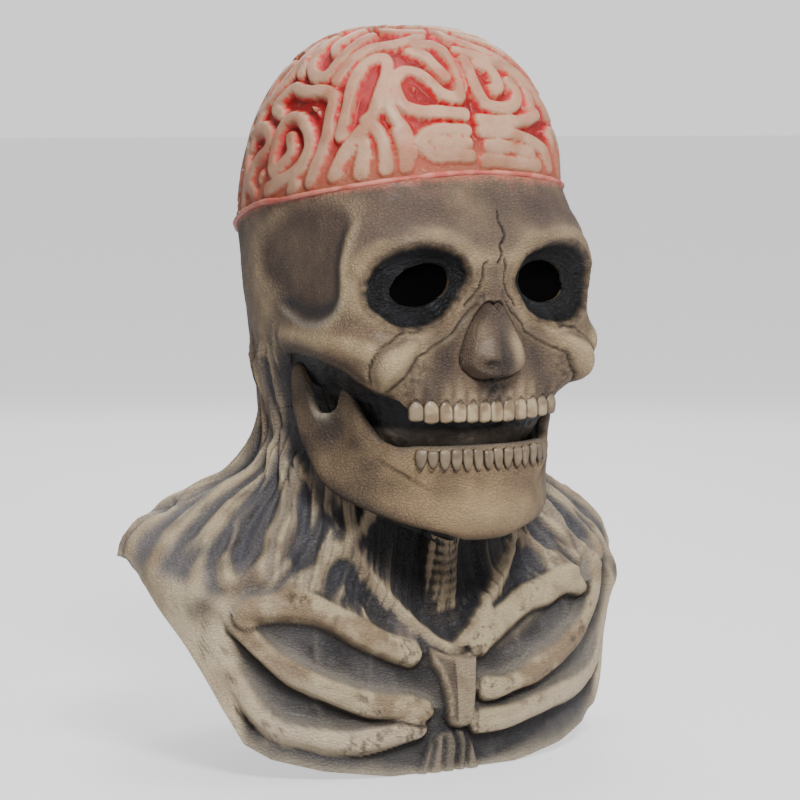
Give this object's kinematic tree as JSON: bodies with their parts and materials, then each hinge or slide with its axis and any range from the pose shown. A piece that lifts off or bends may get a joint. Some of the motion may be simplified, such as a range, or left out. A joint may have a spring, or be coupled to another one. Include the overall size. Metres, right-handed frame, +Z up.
{
  "type": "latex halloween mask",
  "caption": "Full-head latex skull mask with an exposed brain, a jaw that opens, and a neck with a chest bib.",
  "frame": {"origin": "on the flat underside of the crown pad, which rests on top of the wearer's head, in the mask's mid-plane and 14 mm ahead of the pad's centre", "axes": "+Z up along the wearer's neck, -Y the way the face looks, -X the wearer's right side"},
  "size_m": [0.2998, 0.227, 0.4049],
  "materials": {
    "bone_latex": "matt, hand painted",
    "brain_latex": "satin, red in the furrows",
    "tooth_latex": "satin",
    "black_latex": "slightly glossy",
    "gauze": "matt mesh",
    "foam": "open-cell foam"
  },
  "bodies": {
    "head": {"skull_shell": "bone_latex", "brain_cap": "brain_latex", "brain_seam_bead": "brain_latex", "nose_casting": "bone_latex", "upper_teeth": "tooth_latex", "eye_mesh_right": "gauze", "eye_mesh_left": "gauze", "mouth_lining": "black_latex", "throat_web": "black_latex", "neck_bib": "bone_latex", "crown_pad": "foam", "brow_pad": "foam", "nape_pad": "foam"},
    "jaw": {"jaw_shell": "bone_latex", "lower_teeth": "tooth_latex", "chin_pad": "foam"}
  },
  "joints": [
    {"name": "jaw_hinge", "type": "hinge", "parent": "head", "child": "jaw", "pos_m": [0, 0.002, -0.143], "axis": [1, 0, 0], "range_deg": [-5, 12], "stiffness_Nm_per_rad": 1.2, "deforming": ["mouth_lining", "throat_web"]}
  ]
}
